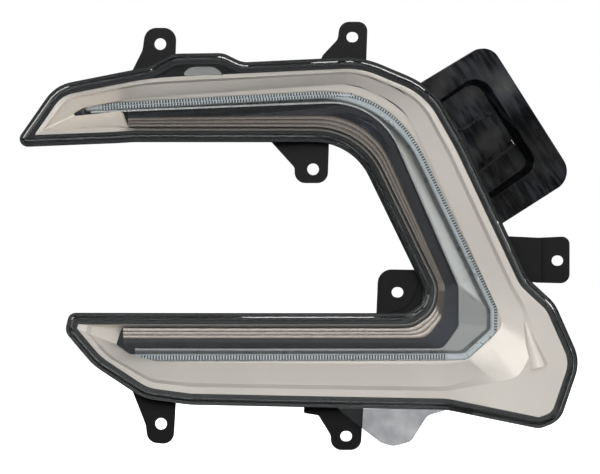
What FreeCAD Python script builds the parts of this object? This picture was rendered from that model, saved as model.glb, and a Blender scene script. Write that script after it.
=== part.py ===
import FreeCAD, Part
import math
import os

Vector = FreeCAD.Vector

# Frame: x runs outboard, z up, and the lens faces -y.
# The origin is the middle of the inner top fixing hole, on the rear face of its ear.
# The lamp wraps round the corner of the bumper: depth is measured along y from the lens front,
# which lies on an upright cylinder.
bend_radius = 900.0
bend_crown_x = -150.0
lens_front_y = -20.0

# Rim outline of the housing, clockwise from the tip of the upper arm: x, z, corner radius.
rim_corners = [
    (-194.5, 14.0, 5), (-166.5, 54.0, 26), (-106.0, 66.0, 195), (32.0, 73.0, 58), (78.0, 54.0, 52),
    (99.5, 16.0, 195), (141.0, -71.5, 20), (158.5, -87.5, 26), (175.5, -125.5, 26), (162.0, -164.5, 16),
    (148.0, -169.5, 10), (86.5, -156.5, 39), (-80.0, -152.5, 39), (-109.5, -148.5, 32), (-142.0, -127.0, 39),
    (-160.5, -105.0, 8), (-157.5, -93.0, 5), (61.5, -93.5, 8), (70.0, -87.5, 8), (72.0, -78.0, 9),
    (25.5, 17.5, 39), (-116.0, 17.4, 60), (-127.0, 16.7, 60)]
upper_rim_corner = 2
inner_rim_corners = slice(17, 21)
bulge_corners = [(-106.0, 66.0, 16), (-90.5, 74.5, 16), (-58.0, 75.0, 14), (-46.0, 69.0, 14)]

# Seal channel round the rim, and the pan behind it.
rim_wall = 1.8
groove_width = 3.6
inner_wall = 1.5
rim_front_depth = 7.0
inner_wall_depth = 10.5
groove_floor_depth = 15.0
groove_floor_thickness = 2.2
pan_wall = 2.2
pan_draft = 1.2
pan_room = 27.5
pan_back_slope = 0.16
channel_width = rim_wall + groove_width + inner_wall
pan_outer_inset = channel_width - pan_wall
least_corner_radius = 0.6
least_line_radius = 0.8

# Lens.
lens_wall = 2.8
lens_edge_radius = 2.0
lens_corner_cut = 0.6
lens_overrun = 0.1
leg_clearance = 0.5
leg_thickness = 2.2
flange_thickness = 1.6
flange_reveal = 0.3
flange_gap = 0.05
seal_thickness = 1.5
seal_gap = 0.05

# Window in the bezel: outer edge, clockwise from the upper tip, then the ends of its inner edge.
window_corners = [
    (-158.0, 34.0, 1), (-149.0, 39.5, 4), (-119.0, 45.5, 95), (25.5, 56.0, 39), (59.0, 41.0, 39),
    (76.0, 5.5, 95), (113.5, -76.0, 26), (119.5, -89.0, 20), (124.0, -102.0, 9), (113.5, -113.5, 13),
    (102.5, -124.5, 6), (85.5, -127.0, 39), (-73.5, -125.5, 65), (-99.5, -125.0, 20), (-119.0, -120.0, 16),
    (-127.5, -113.5, 1)]
trim_start_x = -121.0
trim_end_x = -124.0
window_end_radius = 0.8
window_tip_step = (2.0, 3.5, 3)
lens_bump_corners = [(-114.0, 58.0, 2), (-106.0, 66.0, 14), (-88.0, 78.0, 12), (-72.0, 80.5, 60),
                     (-50.0, 81.5, 12), (-32.0, 72.8, 20), (-14.0, 72.5, 20), (-10.0, 60.0, 2)]
lens_lug_corners = [(86.0, -152.0, 3), (86.0, -157.0, 1), (74.5, -160.0, 8), (63.5, -177.0, 6), (52.0, -180.0, 10),
                    (44.0, -177.5, 6), (18.0, -157.5, 10), (14.0, -152.0, 2)]
bezel_gap = 0.4
lug_x = -71.5
lug_z = 60.5
lug_half_width = 13.0
lug_height = 5.6
lug_top_share = 0.7
lug_foot_radius = 1.0
lug_top_radius = 9.0
lug_inset = 0.5
bezel_lip = 2.2
bezel_wall = 1.8
bezel_border_depth = 9.0
bezel_border_height = 3.5
bezel_window_depth = 16.5
bezel_window_wall = 2.0
bezel_rim = 1.2
ridge_share = 0.22
ridge_depth = 7.8
step_share = 0.34
step_depth = 10.2
first_field_corner = 7
corner_ridge_shares = (0.4, 0.5, 0.52, 0.62)
corner_step_shares = (0.5, 0.62, 0.66, 0.75)
boss_start = (138.5, 24.5, -100.0)
boss_end = (146.5, 28.5, -128.6)
boss_start_radius = 1.0
boss_end_radius = 7.0

# Light guide: centre line seen from the front, from the upper tip to the lower tip.
guide_line = [(-147.0, 39.7, 0), (49.0, 51.0, 73), (118.0, -91.0, 10), (118.0, -105.5, 6), (99.5, -122.3, 8),
              (-118.5, -122.3, 0)]
guide_width = 4.4
guide_gap = 0.4
guide_crown = 1.8
guide_height = 6.0
guide_face_share = 0.6
guide_face_drop = 0.5
tooth_pitch = 2.6
tooth_depth = 0.9
tooth_share = 0.8
tooth_overrun = 0.2
tooth_clear_end = 6.0

# Holder of the guide: edge towards the dark trim.
holder_edge = [(-149.5, 36.0, 0), (42.0, 44.2, 48), (94.8, -76.5, 12), (94.8, -102.5, 8), (84.4, -116.8, 7),
               (-123.0, -116.2, 0)]
holder_wall = 1.6
holder_clearance = 0.3
holder_dip = 4.4
holder_lip_width = 1.2
holder_foot = 1.2
holder_end_setback = 3.0

# Inner trim.
trim_clearance = 0.5
trim_end_clearance = 1.2
trim_wall = 1.6
trim_strip_depth = 12.6
trim_edge_drop = 0.4
strip_count = 3
strip_rise = 1.0
strip_riser_share = 0.12
strip_fall = 0.4
strip_shares = (0.37, 0.5, 0.66, 0.66, 0.5, 0.48)

# Ears with the fixing holes. Holes are round, or short slots across the lamp.
ear_thickness = 3.0
ear_hole_radius = 3.8
ear_slot_extra = 0.9
ear_rear_depth = 20.0
ear_rib_thickness = 2.0
ear_rib_height = 9.0
ear_rib_spread = 7.5
ears = {
    "upper_left": ((-99.0, 81.0), False, [(-119.0, 60.0, 1), (-110.5, 77.0, 10), (-108.5, 91.5, 8),
                                          (-88.5, 91.5, 8), (-89.5, 60.0, 1)]),
    "upper_right": ((25.5, 86.0), True, [(2.0, 66.0, 1), (6.5, 74.5, 2), (16.0, 84.5, 6), (17.5, 96.0, 7),
                                         (35.5, 96.0, 6), (34.5, 66.0, 1)]),
    "inner_top": ((0.0, 0.0), False, [(-31.0, 22.0, 1), (-12.0, 1.0, 4), (-12.0, -9.0, 7), (9.5, -9.0, 7),
                                      (10.5, 22.0, 1)]),
    "inner_corner": ((55.0, -80.0), True, [(41.0, -99.0, 1), (42.5, -65.0, 9), (77.0, -65.5, 1),
                                           (77.0, -99.0, 1)]),
    "lower_left": ((-98.5, -165.0), False, [(-119.0, -139.0, 1), (-108.5, -165.5, 8), (-107.0, -177.0, 7),
                                            (-90.5, -178.5, 7), (-88.5, -145.0, 1)]),
    "lower_middle": ((21.5, -173.5), True, [(-6.0, -148.0, 1), (-6.0, -158.5, 1), (3.5, -160.0, 2),
                                            (11.5, -173.0, 5), (11.5, -182.5, 7), (31.0, -182.5, 7),
                                            (33.0, -148.0, 1)]),
}
ear_root_inset = 6.4
corner_rib_line = [(67.2, -65.8), (68.2, -73.9), (65.3, -82.7), (60.3, -89.6), (44.8, -94.7)]
corner_rib_width = 1.1
corner_rib_rise = 0.9

# Side bracket: a stepped ear behind the outboard edge.
bracket_hole = (160.5, -59.5)
bracket_fold_x = 149.5
bracket_foot = [(118.0, -43.0, 1), (149.5, -44.5, 0.4), (149.5, -74.0, 0.4), (122.0, -72.5, 1)]
bracket_end = [(146.5, -44.5, 0.4), (168.5, -43.5, 5), (168.5, -74.5, 6), (146.5, -74.0, 0.4)]
bracket_step = 7.0
bracket_rear_depth = 17.0

# Bezel pillars, screwed from behind: x, z and the depth at which each leaves the bezel.
pillar_places = [(-40.0, 57.4, 14.8), (103.0, -30.0, 13.3), (142.0, -138.0, 10.5), (-20.0, -136.5, 13.2)]
pillar_radius = 3.2
pillar_gap = 0.2
pilot_depth = 11.0
screw_radius = 1.3
screw_hole_clearance = 0.3
pilot_clearance = 0.01
screw_length = 12.0
screw_head_radius = 3.0
screw_head_height = 2.2
screw_recess_radius = 1.3
screw_recess_depth = 1.2
screw_seat_gap = 0.05

# Side panel behind the outboard edge: a flat moulding in a plane that leans back outboard.
panel_y = -6.2
panel_slope = 0.28
panel_wall = 2.4
panel_skirt = 4.5
panel_corners = [(62.0, 51.0, 3), (115.2, 83.4, 12), (171.9, -4.8, 13), (119.0, -38.3, 3)]
panel_recess_corners = [(72.0, 38.0, 3), (109.7, 64.1, 13), (148.7, 2.7, 10), (108.0, -25.6, 3)]
panel_recess_depth = 8.0
panel_recess_draft = 3.6
panel_wall_clearance = 0.4
panel_boss_places = [(74.0, 53.5), (114.6, -20.5)]
panel_boss_radius = 2.6
panel_boss_gap = 0.1
boss_pilot_depth = 2.0
panel_screw_head_radius = 2.3
panel_screw_end_gap = 0.2
panel_bar_start = (96.0, 24.0)
panel_bar_end = (120.0, 38.0)
panel_bar_height = 1.4
panel_bar_width = 1.6
panel_groove_start = (104.0, -5.0)
panel_groove_end = (134.0, 18.5)
panel_groove_width = 4.2
panel_groove_depth = 3.0

# Light sources: a board on a heat sink at each end of the guide.
board_thickness = 1.6
board_gap = 0.3
board_height = 8.4
board_depth_span = 7.6
led_size = 2.4
led_thickness = 0.8
sink_base = 2.5
sink_fin_count = 3
sink_fin_thickness = 1.2
sink_fin_length = 3.4

# Driver board on posts inside the pan of the outboard leg.
driver_low = (73.0, -56.0)
driver_high = (96.0, -16.0)
driver_thickness = 1.6
driver_standoff = 3.0
board_screw_length = 5.0
pin_clearance = 0.6
post_radius = 2.6
post_inset = 3.4
coil_radius = 4.5
coil_height = 4.0
coil_drop = 13.0
chip_count = 3
chip_width = 3.2
chip_height = 1.4
chip_length = 1.8
chip_pitch = 3.2
chip_rise = 8.0
board_screw_head_height = 1.6
board_screw_recess_radius = 0.9
board_screw_recess_depth = 0.8

# Connector socket on the back of the pan.
socket_centre = (84.5, -38.0)
socket_width = 12.0
socket_height = 22.0
socket_wall = 1.6
socket_length = 16.0
socket_corner = 2.0
pin_rows = 2
pin_columns = 3
pin_pitch = 4.0
pin_size = 0.9
pin_reach = 8.0
pin_stub = 0.8
latch_width = 6.0
latch_height = 1.6
latch_end_gap = 3.0
root_share = 0.6

# Breather caps on spigots at the back of the pan.
breather_places = {"upper_breather_cap": (-70.0, 44.0), "lower_breather_cap": (-60.0, -122.0)}
spigot_radius = 4.0
spigot_bore = 2.4
spigot_height = 6.0
breather_radius = 6.5
breather_wall = 1.4
cap_edge = 1.0
cap_gap = 0.3
cap_slot_width = 1.2
cap_slot_height = 2.0

line_points = 4
arc_points = 5
sew_limit = 0.001
flat_limit = 0.04
far = 260.0
cut_margin = 1.0
root_overlap = 0.5


def bend(x):
    rise = bend_radius - math.sqrt(bend_radius ** 2 - (x - bend_crown_x) ** 2)
    datum = bend_radius - math.sqrt(bend_radius ** 2 - bend_crown_x ** 2)
    return rise - datum


def at_depth(depth):
    return lambda x: lens_front_y + bend(x) + depth


def at_back(offset):
    # The pan keeps its room behind the bezel.
    pan_back_y = lens_front_y + bezel_back_depth() + pan_room
    return lambda x: pan_back_y + pan_back_slope * x + offset


def direction(a, b):
    length = math.hypot(b[0] - a[0], b[1] - a[1])
    return ((b[0] - a[0]) / length, (b[1] - a[1]) / length)


def crossing(point_a, dir_a, point_b, dir_b):
    cross = dir_a[0] * dir_b[1] - dir_a[1] * dir_b[0]
    gap = (point_b[0] - point_a[0], point_b[1] - point_a[1])
    along = (gap[0] * dir_b[1] - gap[1] * dir_b[0]) / cross
    return (point_a[0] + dir_a[0] * along, point_a[1] + dir_a[1] * along)


def turn(dir_a, dir_b):
    return dir_a[0] * dir_b[1] - dir_a[1] * dir_b[0]


def moved_side(a, b, distance):
    step = direction(a, b)
    return ((a[0] + step[1] * distance, a[1] - step[0] * distance), step)


def inset(corners, distance):
    count = len(corners)
    sides = [moved_side(corners[i], corners[(i + 1) % count], distance) for i in range(count)]
    result = []
    for i in range(count):
        before, after = sides[i - 1], sides[i]
        x, z = crossing(before[0], before[1], after[0], after[1])
        grow = distance if turn(before[1], after[1]) > 0 else -distance
        result.append((x, z, max(corners[i][2] + grow, least_corner_radius)))
    return result


def shifted_line(line, distances):
    sides = [moved_side(line[i], line[i + 1], distances[i]) for i in range(len(line) - 1)]
    result = [(line[0][0], crossing(sides[0][0], sides[0][1], line[0], (0, 1))[1], 0)]
    for i in range(1, len(line) - 1):
        before, after = sides[i - 1], sides[i]
        x, z = crossing(before[0], before[1], after[0], after[1])
        grow = 0.5 * (distances[i - 1] + distances[i])
        grow = grow if turn(before[1], after[1]) > 0 else -grow
        result.append((x, z, max(line[i][2] + grow, least_line_radius)))
    result.append((line[-1][0], crossing(sides[-1][0], sides[-1][1], line[-1], (0, 1))[1], 0))
    return result


def between(corners_a, corners_b, shares):
    result = []
    for a, b, share in zip(corners_a, corners_b, shares):
        result.append(tuple(p + (q - p) * share for p, q in zip(a, b)))
    return result


def rounded(corners, closed=True):
    # Turns corners into straight runs and arcs: each piece is a list of its points.
    count = len(corners)
    ends = []
    for i, (x, z, radius) in enumerate(corners):
        if not closed and i in (0, count - 1):
            ends.append([(x, z)])
            continue
        to_last = direction((x, z), corners[i - 1])
        to_next = direction((x, z), corners[(i + 1) % count])
        half = 0.5 * math.acos(max(-1, min(1, to_last[0] * to_next[0] + to_last[1] * to_next[1])))
        tangent = radius / math.tan(half)
        middle = (to_last[0] + to_next[0], to_last[1] + to_next[1])
        middle_length = math.hypot(*middle)
        reach = radius / math.sin(half)
        cx, cz = x + middle[0] / middle_length * reach, z + middle[1] / middle_length * reach
        start = math.atan2(z + to_last[1] * tangent - cz, x + to_last[0] * tangent - cx)
        end = math.atan2(z + to_next[1] * tangent - cz, x + to_next[0] * tangent - cx)
        sweep = (end - start + math.pi) % (2 * math.pi) - math.pi
        angles = [start + sweep * k / (arc_points - 1) for k in range(arc_points)]
        ends.append([(cx + radius * math.cos(a), cz + radius * math.sin(a)) for a in angles])
    pieces = []
    for i in range(count if closed else count - 1):
        if len(ends[i]) > 1:
            pieces.append(ends[i])
        a, b = ends[i][-1], ends[(i + 1) % count][0]
        shares = [k / (line_points - 1) for k in range(line_points)]
        pieces.append([tuple(p + (q - p) * share for p, q in zip(a, b)) for share in shares])
    return pieces


def lifted(corners, level, closed=True):
    # The outline's edges on a surface whose y depends on x alone.
    edges = []
    for piece in rounded(corners, closed):
        points = [Vector(x, level(x), z) for x, z in piece]
        if is_flat(points):
            edges.append(Part.LineSegment(points[0], points[-1]).toShape())
        else:
            curve = Part.BezierCurve()
            curve.interpolate([[point] for point in points])
            edges.append(curve.toShape())
    return edges


def is_flat(points):
    middle = 0.5 * (points[0] + points[-1])
    nearest = min(points[1:-1], key=lambda point: (point - middle).Length)
    return nearest.distanceToLine(points[0], points[-1] - points[0]) < flat_limit


def solid_of(faces):
    shell = Part.makeShell(faces)
    shell.sewShape()
    solid = Part.makeSolid(shell.Shells[0])
    if solid.Volume < 0:
        solid.reverse()
    solid.fix(sew_limit, sew_limit, sew_limit)
    return solid.Solids[0]


def bands(pairs):
    same_sense = 1
    return [Part.makeRuledSurface(a, b, same_sense) for low, high in pairs for a, b in zip(low, high)]


def skin(levels, ring=False):
    # A solid bounded by ruled bands between closed outlines; a ring joins its last outline to its first.
    pairs = list(zip(levels, levels[1:]))
    if ring:
        pairs.append((levels[-1], levels[0]))
    faces = bands(pairs)
    if not ring:
        faces += [Part.Face(Part.Wire(levels[0])), Part.Face(Part.Wire(levels[-1]))]
    return solid_of(faces)


def strip(rails):
    # A solid with a closed section that runs along open rails, with a flat face at each end.
    pairs = list(zip(rails, rails[1:] + rails[:1]))
    faces = bands(pairs)
    for end in (0, -1):
        points = [rail[end].Vertexes[end].Point for rail in rails]
        faces.append(Part.Face(Part.makePolygon(points + points[:1])))
    return solid_of(faces)


def rim(distance):
    corners = rim_corners[:upper_rim_corner] + bulge_corners + rim_corners[upper_rim_corner + 1:]
    return inset(corners, distance)


def smooth_rim(distance):
    return inset(rim_corners, distance)


def outline_face(corners):
    edges = []
    for i, piece in enumerate(rounded(corners)):
        points = [Vector(x, 0, z) for x, z in piece]
        if len(piece) == arc_points:
            edges.append(Part.Arc(points[0], points[arc_points // 2], points[-1]).toShape())
        else:
            edges.append(Part.LineSegment(points[0], points[-1]).toShape())
    return Part.Face(Part.Wire(edges))


def behind(depth):
    # Everything deeper than the given depth, as far as the lamp reaches.
    datum = bend_radius - math.sqrt(bend_radius ** 2 - bend_crown_x ** 2)
    centre = Vector(bend_crown_x, lens_front_y + bend_radius - datum + depth, -far)
    return Part.makeCylinder(bend_radius, 2 * far, centre)


def bent_plate(corners, front_depth, back_depth):
    face = outline_face(corners)
    face.translate(Vector(0, -far, 0))
    block = face.extrude(Vector(0, 2 * far, 0))
    return block.common(behind(front_depth)).cut(behind(back_depth))


def housing_body():
    floor = lifted(rim(channel_width + pan_draft), at_back(-pan_wall))
    levels = [
        floor,
        lifted(rim(channel_width), at_depth(inner_wall_depth)),
        lifted(rim(rim_wall + groove_width), at_depth(inner_wall_depth)),
        lifted(rim(rim_wall + groove_width), at_depth(groove_floor_depth)),
        lifted(rim(rim_wall), at_depth(groove_floor_depth)),
        lifted(rim(rim_wall), at_depth(rim_front_depth)),
        lifted(rim(0), at_depth(rim_front_depth)),
        lifted(rim(0), at_depth(groove_floor_depth + groove_floor_thickness)),
        lifted(rim(pan_outer_inset), at_depth(groove_floor_depth + groove_floor_thickness)),
        lifted(rim(pan_outer_inset + pan_draft), at_back(0)),
    ]
    return skin(levels)


def outer_lens():
    leg_depth = groove_floor_depth - seal_thickness
    leg = rim(rim_wall + leg_clearance)
    inner = rim(rim_wall + leg_clearance + leg_thickness)
    shell = lens_block(leg).common(behind(0)).cut(behind(leg_depth))
    shell = shell.cut(straight_block(inner).common(behind(lens_wall)))
    back = rim_front_depth - flange_gap
    front = back - flange_thickness
    outlines = (rim(flange_reveal), lens_bump_corners, lens_lug_corners)
    tabs = [bent_plate(corners, front, back) for corners in outlines]
    flange = tabs[0].fuse(tabs[1:]).cut(straight_block(inner))
    return shell.fuse(flange)


def level_at(y):
    return lambda x: y


def straight_block(corners):
    return skin([lifted(corners, level_at(far)), lifted(corners, level_at(-far))])


def lens_block(leg):
    # Block in the outline of the lens leg, with a rounded edge to the front that runs on past it.
    rounding = inset(leg, lens_corner_cut)
    face = inset(leg, lens_edge_radius)
    return skin([lifted(leg, level_at(far)), lifted(leg, at_depth(lens_edge_radius)),
                 lifted(rounding, at_depth(lens_corner_cut)), lifted(face, at_depth(-lens_overrun)),
                 lifted(face, level_at(-far))])


def lens_seal():
    top = groove_floor_depth - seal_thickness + seal_gap
    outer = rim(rim_wall)
    inner = rim(rim_wall + groove_width)
    bottom = groove_floor_depth
    return skin([lifted(outer, at_depth(top)), lifted(inner, at_depth(top)),
                 lifted(inner, at_depth(bottom)), lifted(outer, at_depth(bottom))], True)


def window(grow=0.0):
    inner = smooth_rim(channel_width + bezel_gap + bezel_lip)
    low_z = inner[inner_rim_corners.start][1]
    high_z = inner[inner_rim_corners.stop][1]
    start = [(trim_end_x, low_z, window_end_radius)]
    step_x, step_z, radius = window_tip_step
    tip = (trim_start_x - step_x, window_corners[0][1] + step_z, radius)
    end = [(trim_start_x, high_z, window_end_radius), tip]
    return inset(window_corners + start + inner[inner_rim_corners] + end, -grow)


def bezel_outline(share, corner_shares=()):
    border = smooth_rim(channel_width + bezel_gap)
    shares = [share] * len(border)
    for i, corner_share in enumerate(corner_shares):
        shares[first_field_corner + i] = corner_share
    return between(border, window(), shares)


def bezel_back_depth():
    return bezel_window_depth + bezel_window_wall


def outer_bezel():
    step = bezel_outline(step_share, corner_step_shares)
    levels = [
        lifted(bezel_outline(0), at_depth(bezel_border_depth + bezel_border_height)),
        lifted(bezel_outline(0), at_depth(bezel_border_depth)),
        lifted(bezel_outline(ridge_share, corner_ridge_shares), at_depth(ridge_depth)),
        lifted(step, at_depth(step_depth)),
        lifted(window(), at_depth(bezel_window_depth)),
        lifted(window(), at_depth(bezel_back_depth())),
        lifted(window(bezel_rim), at_depth(bezel_back_depth())),
        lifted(step, at_depth(step_depth + bezel_wall)),
    ]
    pillars = [bezel_pillar(*place) for place in pillar_places]
    return skin(levels, True).fuse(pillars + [locating_lug(), corner_boss()])


def bezel_pillar(x, z, start_depth):
    y_start = at_depth(start_depth)(x)
    y_floor = at_back(-pan_wall)(x - pillar_radius) - pillar_gap
    pillar = cylinder_y(x, z, pillar_radius, y_start, y_floor)
    return pillar.cut(cylinder_y(x, z, screw_radius, y_floor - pilot_depth, y_floor + cut_margin))


def locating_lug():
    # Half-round lug on the top border, under the bulge of the rim.
    top_half = lug_top_share * lug_half_width
    top_z = lug_z + lug_height
    corners = [(lug_x - lug_half_width, lug_z, lug_foot_radius), (lug_x - top_half, top_z, lug_top_radius),
               (lug_x + top_half, top_z, lug_top_radius), (lug_x + lug_half_width, lug_z, lug_foot_radius)]
    back_depth = bezel_border_depth + bezel_border_height - lug_inset
    return bent_plate(corners, bezel_border_depth + lug_inset, back_depth)


def corner_boss():
    # Cone that grows out of the wide field at the outboard corner.
    start, end = Vector(*boss_start), Vector(*boss_end)
    return Part.makeCone(boss_start_radius, boss_end_radius, (end - start).Length, start, end - start)


def with_ends(line, start_x, end_x):
    start = crossing(line[0], direction(line[0], line[1]), (start_x, 0), (0, 1))
    end = crossing(line[-1], direction(line[-2], line[-1]), (end_x, 0), (0, 1))
    return [(*start, 0)] + line[1:-1] + [(*end, 0)]


def rail(line, depth):
    return lifted(line, at_depth(depth), False)


def beside(line, distance):
    return shifted_line(line, (distance,) * (len(line) - 1))


def guide_rails(profile, start_x=None, end_x=None):
    start_x = guide_line[0][0] if start_x is None else start_x
    end_x = guide_line[-1][0] if end_x is None else end_x
    return [rail(with_ends(beside(guide_line, offset), start_x, end_x), depth) for offset, depth in profile]


def guide_front_depth():
    return bezel_back_depth() + guide_gap


def guide_shoulder_depth():
    return guide_front_depth() + guide_crown


def guide_back_depth():
    return guide_front_depth() + guide_height


def light_guide():
    half = 0.5 * guide_width
    front, shoulder, back = guide_front_depth(), guide_shoulder_depth(), guide_back_depth()
    face, face_half = front + guide_face_drop, guide_face_share * half
    profile = [(half, shoulder), (face_half, face), (-face_half, face), (-half, shoulder),
               (-half, back), (half, back)]
    body = strip(guide_rails(profile))
    notches = [tooth_notch(*station) for station in stations_along(guide_line, tooth_pitch, tooth_clear_end)]
    return body.cut(notches)


def stations_along(line, pitch, clear_end):
    # Points at an even pitch along the line, each with its direction.
    path = [point for piece in rounded(line, False) for point in piece[:-1]] + [line[-1][:2]]
    reach = clear_end
    travelled = 0.0
    stations = []
    for a, b in zip(path, path[1:]):
        run = math.hypot(b[0] - a[0], b[1] - a[1])
        while travelled + run > reach:
            share = (reach - travelled) / run
            point = (a[0] + (b[0] - a[0]) * share, a[1] + (b[1] - a[1]) * share)
            stations.append((point, direction(a, b)))
            reach += pitch
        travelled += run
    last_reach = travelled - clear_end
    return [station for index, station in enumerate(stations) if clear_end + index * pitch < last_reach]


def tooth_notch(point, along):
    # A prism notch across the back of the guide.
    half = 0.5 * tooth_share * tooth_pitch
    across = (-along[1], along[0])
    reach = 0.5 * guide_width + tooth_overrun
    corners = []
    for side, height in ((-half, tooth_overrun), (0.0, -tooth_depth), (half, tooth_overrun)):
        x, z = point[0] + along[0] * side, point[1] + along[1] * side
        y = at_depth(guide_back_depth() + height)(x)
        corners.append(Vector(x - across[0] * reach, y, z - across[1] * reach))
    face = Part.Face(Part.makePolygon(corners + corners[:1]))
    return face.extrude(Vector(across[0] * 2 * reach, 0, across[1] * 2 * reach))


def guide_holder():
    half = 0.5 * guide_width + holder_clearance
    floor = guide_back_depth() + holder_clearance
    lip_depth = guide_front_depth()
    tray = [(half, lip_depth + holder_dip), (half, floor), (-half - holder_foot, floor),
            (-half - holder_foot, floor + holder_wall), (half + holder_wall, floor + holder_wall)]
    start_x, end_x = guide_line[0][0] + holder_end_setback, guide_line[-1][0] + holder_end_setback
    edge = with_ends(holder_edge, start_x, end_x)
    lip_edge = with_ends(beside(holder_edge, -holder_lip_width), start_x, end_x)
    lip = [rail(edge, lip_depth), rail(lip_edge, lip_depth)]
    return strip(lip + guide_rails(tray, start_x, end_x) + [rail(edge, lip_depth + holder_wall)])


def inner_trim():
    start_x, end_x = trim_start_x + trim_end_clearance, trim_end_x + trim_end_clearance
    outer = with_ends(beside(holder_edge, trim_clearance), start_x, end_x)
    corners = smooth_rim(channel_width + bezel_gap + bezel_lip + trim_clearance)
    first, last = inner_rim_corners.start, inner_rim_corners.stop
    inner = with_ends(list(reversed(corners[first - 1:last + 1])), start_x, end_x)
    edge_depth = guide_front_depth() + trim_edge_drop
    rails = [rail(outer, edge_depth), rail(between(outer, inner, strip_shares), trim_strip_depth)]
    for step in range(strip_count):
        depth = trim_strip_depth - (step + 1) * strip_rise
        for part_of_step, fall in ((strip_riser_share, 0.0), (1.0, strip_fall)):
            along = (step + part_of_step) / strip_count
            shares = [s + (1 - s) * along for s in strip_shares]
            rails.append(rail(between(outer, inner, shares), depth + fall))
    rails.append(rail(inner, trim_strip_depth))
    rails.append(rail(between(outer, inner, strip_shares), trim_strip_depth + trim_wall))
    rails.append(rail(outer, edge_depth + trim_wall))
    return strip(rails)


def cylinder_y(x, z, radius, y_start, y_end):
    return Part.makeCylinder(radius, y_end - y_start, Vector(x, y_start, z), Vector(0, 1, 0))


def box_between(low, high):
    return Part.makeBox(high[0] - low[0], high[1] - low[1], high[2] - low[2], Vector(*low))


def plate(corners, y_front, y_rear):
    face = outline_face(corners)
    face.translate(Vector(0, y_front, 0))
    return face.extrude(Vector(0, y_rear - y_front, 0))


def fixing_hole(centre, slotted, y_front, y_rear):
    x, z = centre
    half = 0.5 * ear_slot_extra if slotted else 0.0
    radius = ear_hole_radius - half
    low, high = y_front - cut_margin, y_rear + cut_margin
    hole = cylinder_y(x - half, z, radius, low, high)
    if slotted:
        middle = box_between((x - half, low, z - radius), (x + half, high, z + radius))
        hole = hole.fuse([cylinder_y(x + half, z, radius, low, high), middle])
    return hole


def ear_rear(centre):
    return at_depth(ear_rear_depth)(centre[0])


def ear_rib(x, z_tip, z_root, y_rear):
    y_start = y_rear - root_overlap
    y_end = y_rear + ear_rib_height
    points = [Vector(x, y_start, z_tip), Vector(x, y_start, z_root), Vector(x, y_end, z_root)]
    face = Part.Face(Part.makePolygon(points + points[:1]))
    return face.extrude(Vector(ear_rib_thickness, 0, 0))


def ear(centre, slotted, corners):
    y_rear = ear_rear(centre)
    y_front = y_rear - ear_thickness
    root_z = corners[0][1]
    solid = plate(corners, y_front, y_rear)
    for side in (-1, 1):
        x = centre[0] + side * ear_rib_spread - 0.5 * ear_rib_thickness
        solid = solid.fuse(ear_rib(x, centre[1], root_z, y_rear))
    return solid.cut(fixing_hole(centre, slotted, y_front, y_rear))


def corner_rib():
    # Raised rib on the front of the inner corner ear, bent round its root.
    y_front = ear_rear(ears["inner_corner"][0]) - ear_thickness
    bars = [bar_between(a, b, corner_rib_width, y_front - corner_rib_rise, y_front + 0.5 * ear_thickness)
            for a, b in zip(corner_rib_line, corner_rib_line[1:])]
    joints = [cylinder_y(x, z, 0.5 * corner_rib_width, y_front - corner_rib_rise, y_front + 0.5 * ear_thickness)
              for x, z in corner_rib_line[1:-1]]
    return bars[0].fuse(bars[1:] + joints)


def bracket():
    y_foot = at_depth(bracket_rear_depth)(bracket_fold_x) - ear_thickness
    y_end = y_foot + bracket_step
    foot = plate(bracket_foot, y_foot, y_foot + ear_thickness)
    end = plate(bracket_end, y_end, y_end + ear_thickness)
    lower = min(bracket_foot[1][1], bracket_foot[2][1])
    upper = max(bracket_foot[1][1], bracket_foot[2][1])
    fold_start = (bracket_fold_x - ear_thickness, y_foot, lower)
    step = box_between(fold_start, (bracket_fold_x, y_end + ear_thickness, upper))
    hole = fixing_hole(bracket_hole, True, y_end, y_end + ear_thickness)
    return foot.fuse([end, step]).cut(hole)


def outside_pan(solid):
    # Keeps what lies outside the pan's hollow and behind the seal channel.
    hollow = plate(rim(ear_root_inset), -far, far)
    channel = plate(rim(0.5 * rim_wall), -far, far)
    channel = channel.cut(behind(groove_floor_depth + 0.5 * groove_floor_thickness))
    return solid.cut(hollow).cut(channel)


def housing():
    body = housing_body()
    fixings = [outside_pan(ear(*ears[name])) for name in ears]
    fixings += [outside_pan(bracket()), outside_pan(corner_rib())]
    fixings += [panel_boss(x, z) for x, z in panel_boss_places]
    fixings += [driver_post(x, z) for x, z in driver_post_places()]
    fixings += [spigot(x, z) for x, z in breather_places.values()]
    fixings += [sink_pedestal("upper"), sink_pedestal("lower"), socket_shroud()]
    body = body.fuse(fixings)
    holes = [screw_hole(x, z) for x, z, depth in pillar_places]
    holes += [breather_bore(x, z) for x, z in breather_places.values()]
    holes += [panel_pilot(x, z) for x, z in panel_boss_places]
    holes += [driver_pilot(x, z) for x, z in driver_post_places()]
    holes += [pin_holes()]
    return body.cut(holes)


def screw_hole(x, z):
    y_back = at_back(0)(x)
    return cylinder_y(x, z, screw_radius + screw_hole_clearance, y_back - 4 * pan_wall, y_back + pan_wall)


def screw(x, z, y_seat):
    # A pan-head screw driven along -y, with a round socket.
    y_top = y_seat + screw_head_height
    shank = cylinder_y(x, z, screw_radius, y_seat - screw_length, y_seat)
    head = cylinder_y(x, z, screw_head_radius, y_seat, y_top)
    recess = cylinder_y(x, z, screw_recess_radius, y_top - screw_recess_depth, y_top + cut_margin)
    return shank.fuse(head).cut(recess)


def at_panel(offset):
    return lambda x: panel_y + panel_slope * x + offset * math.hypot(1, panel_slope)


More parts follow.
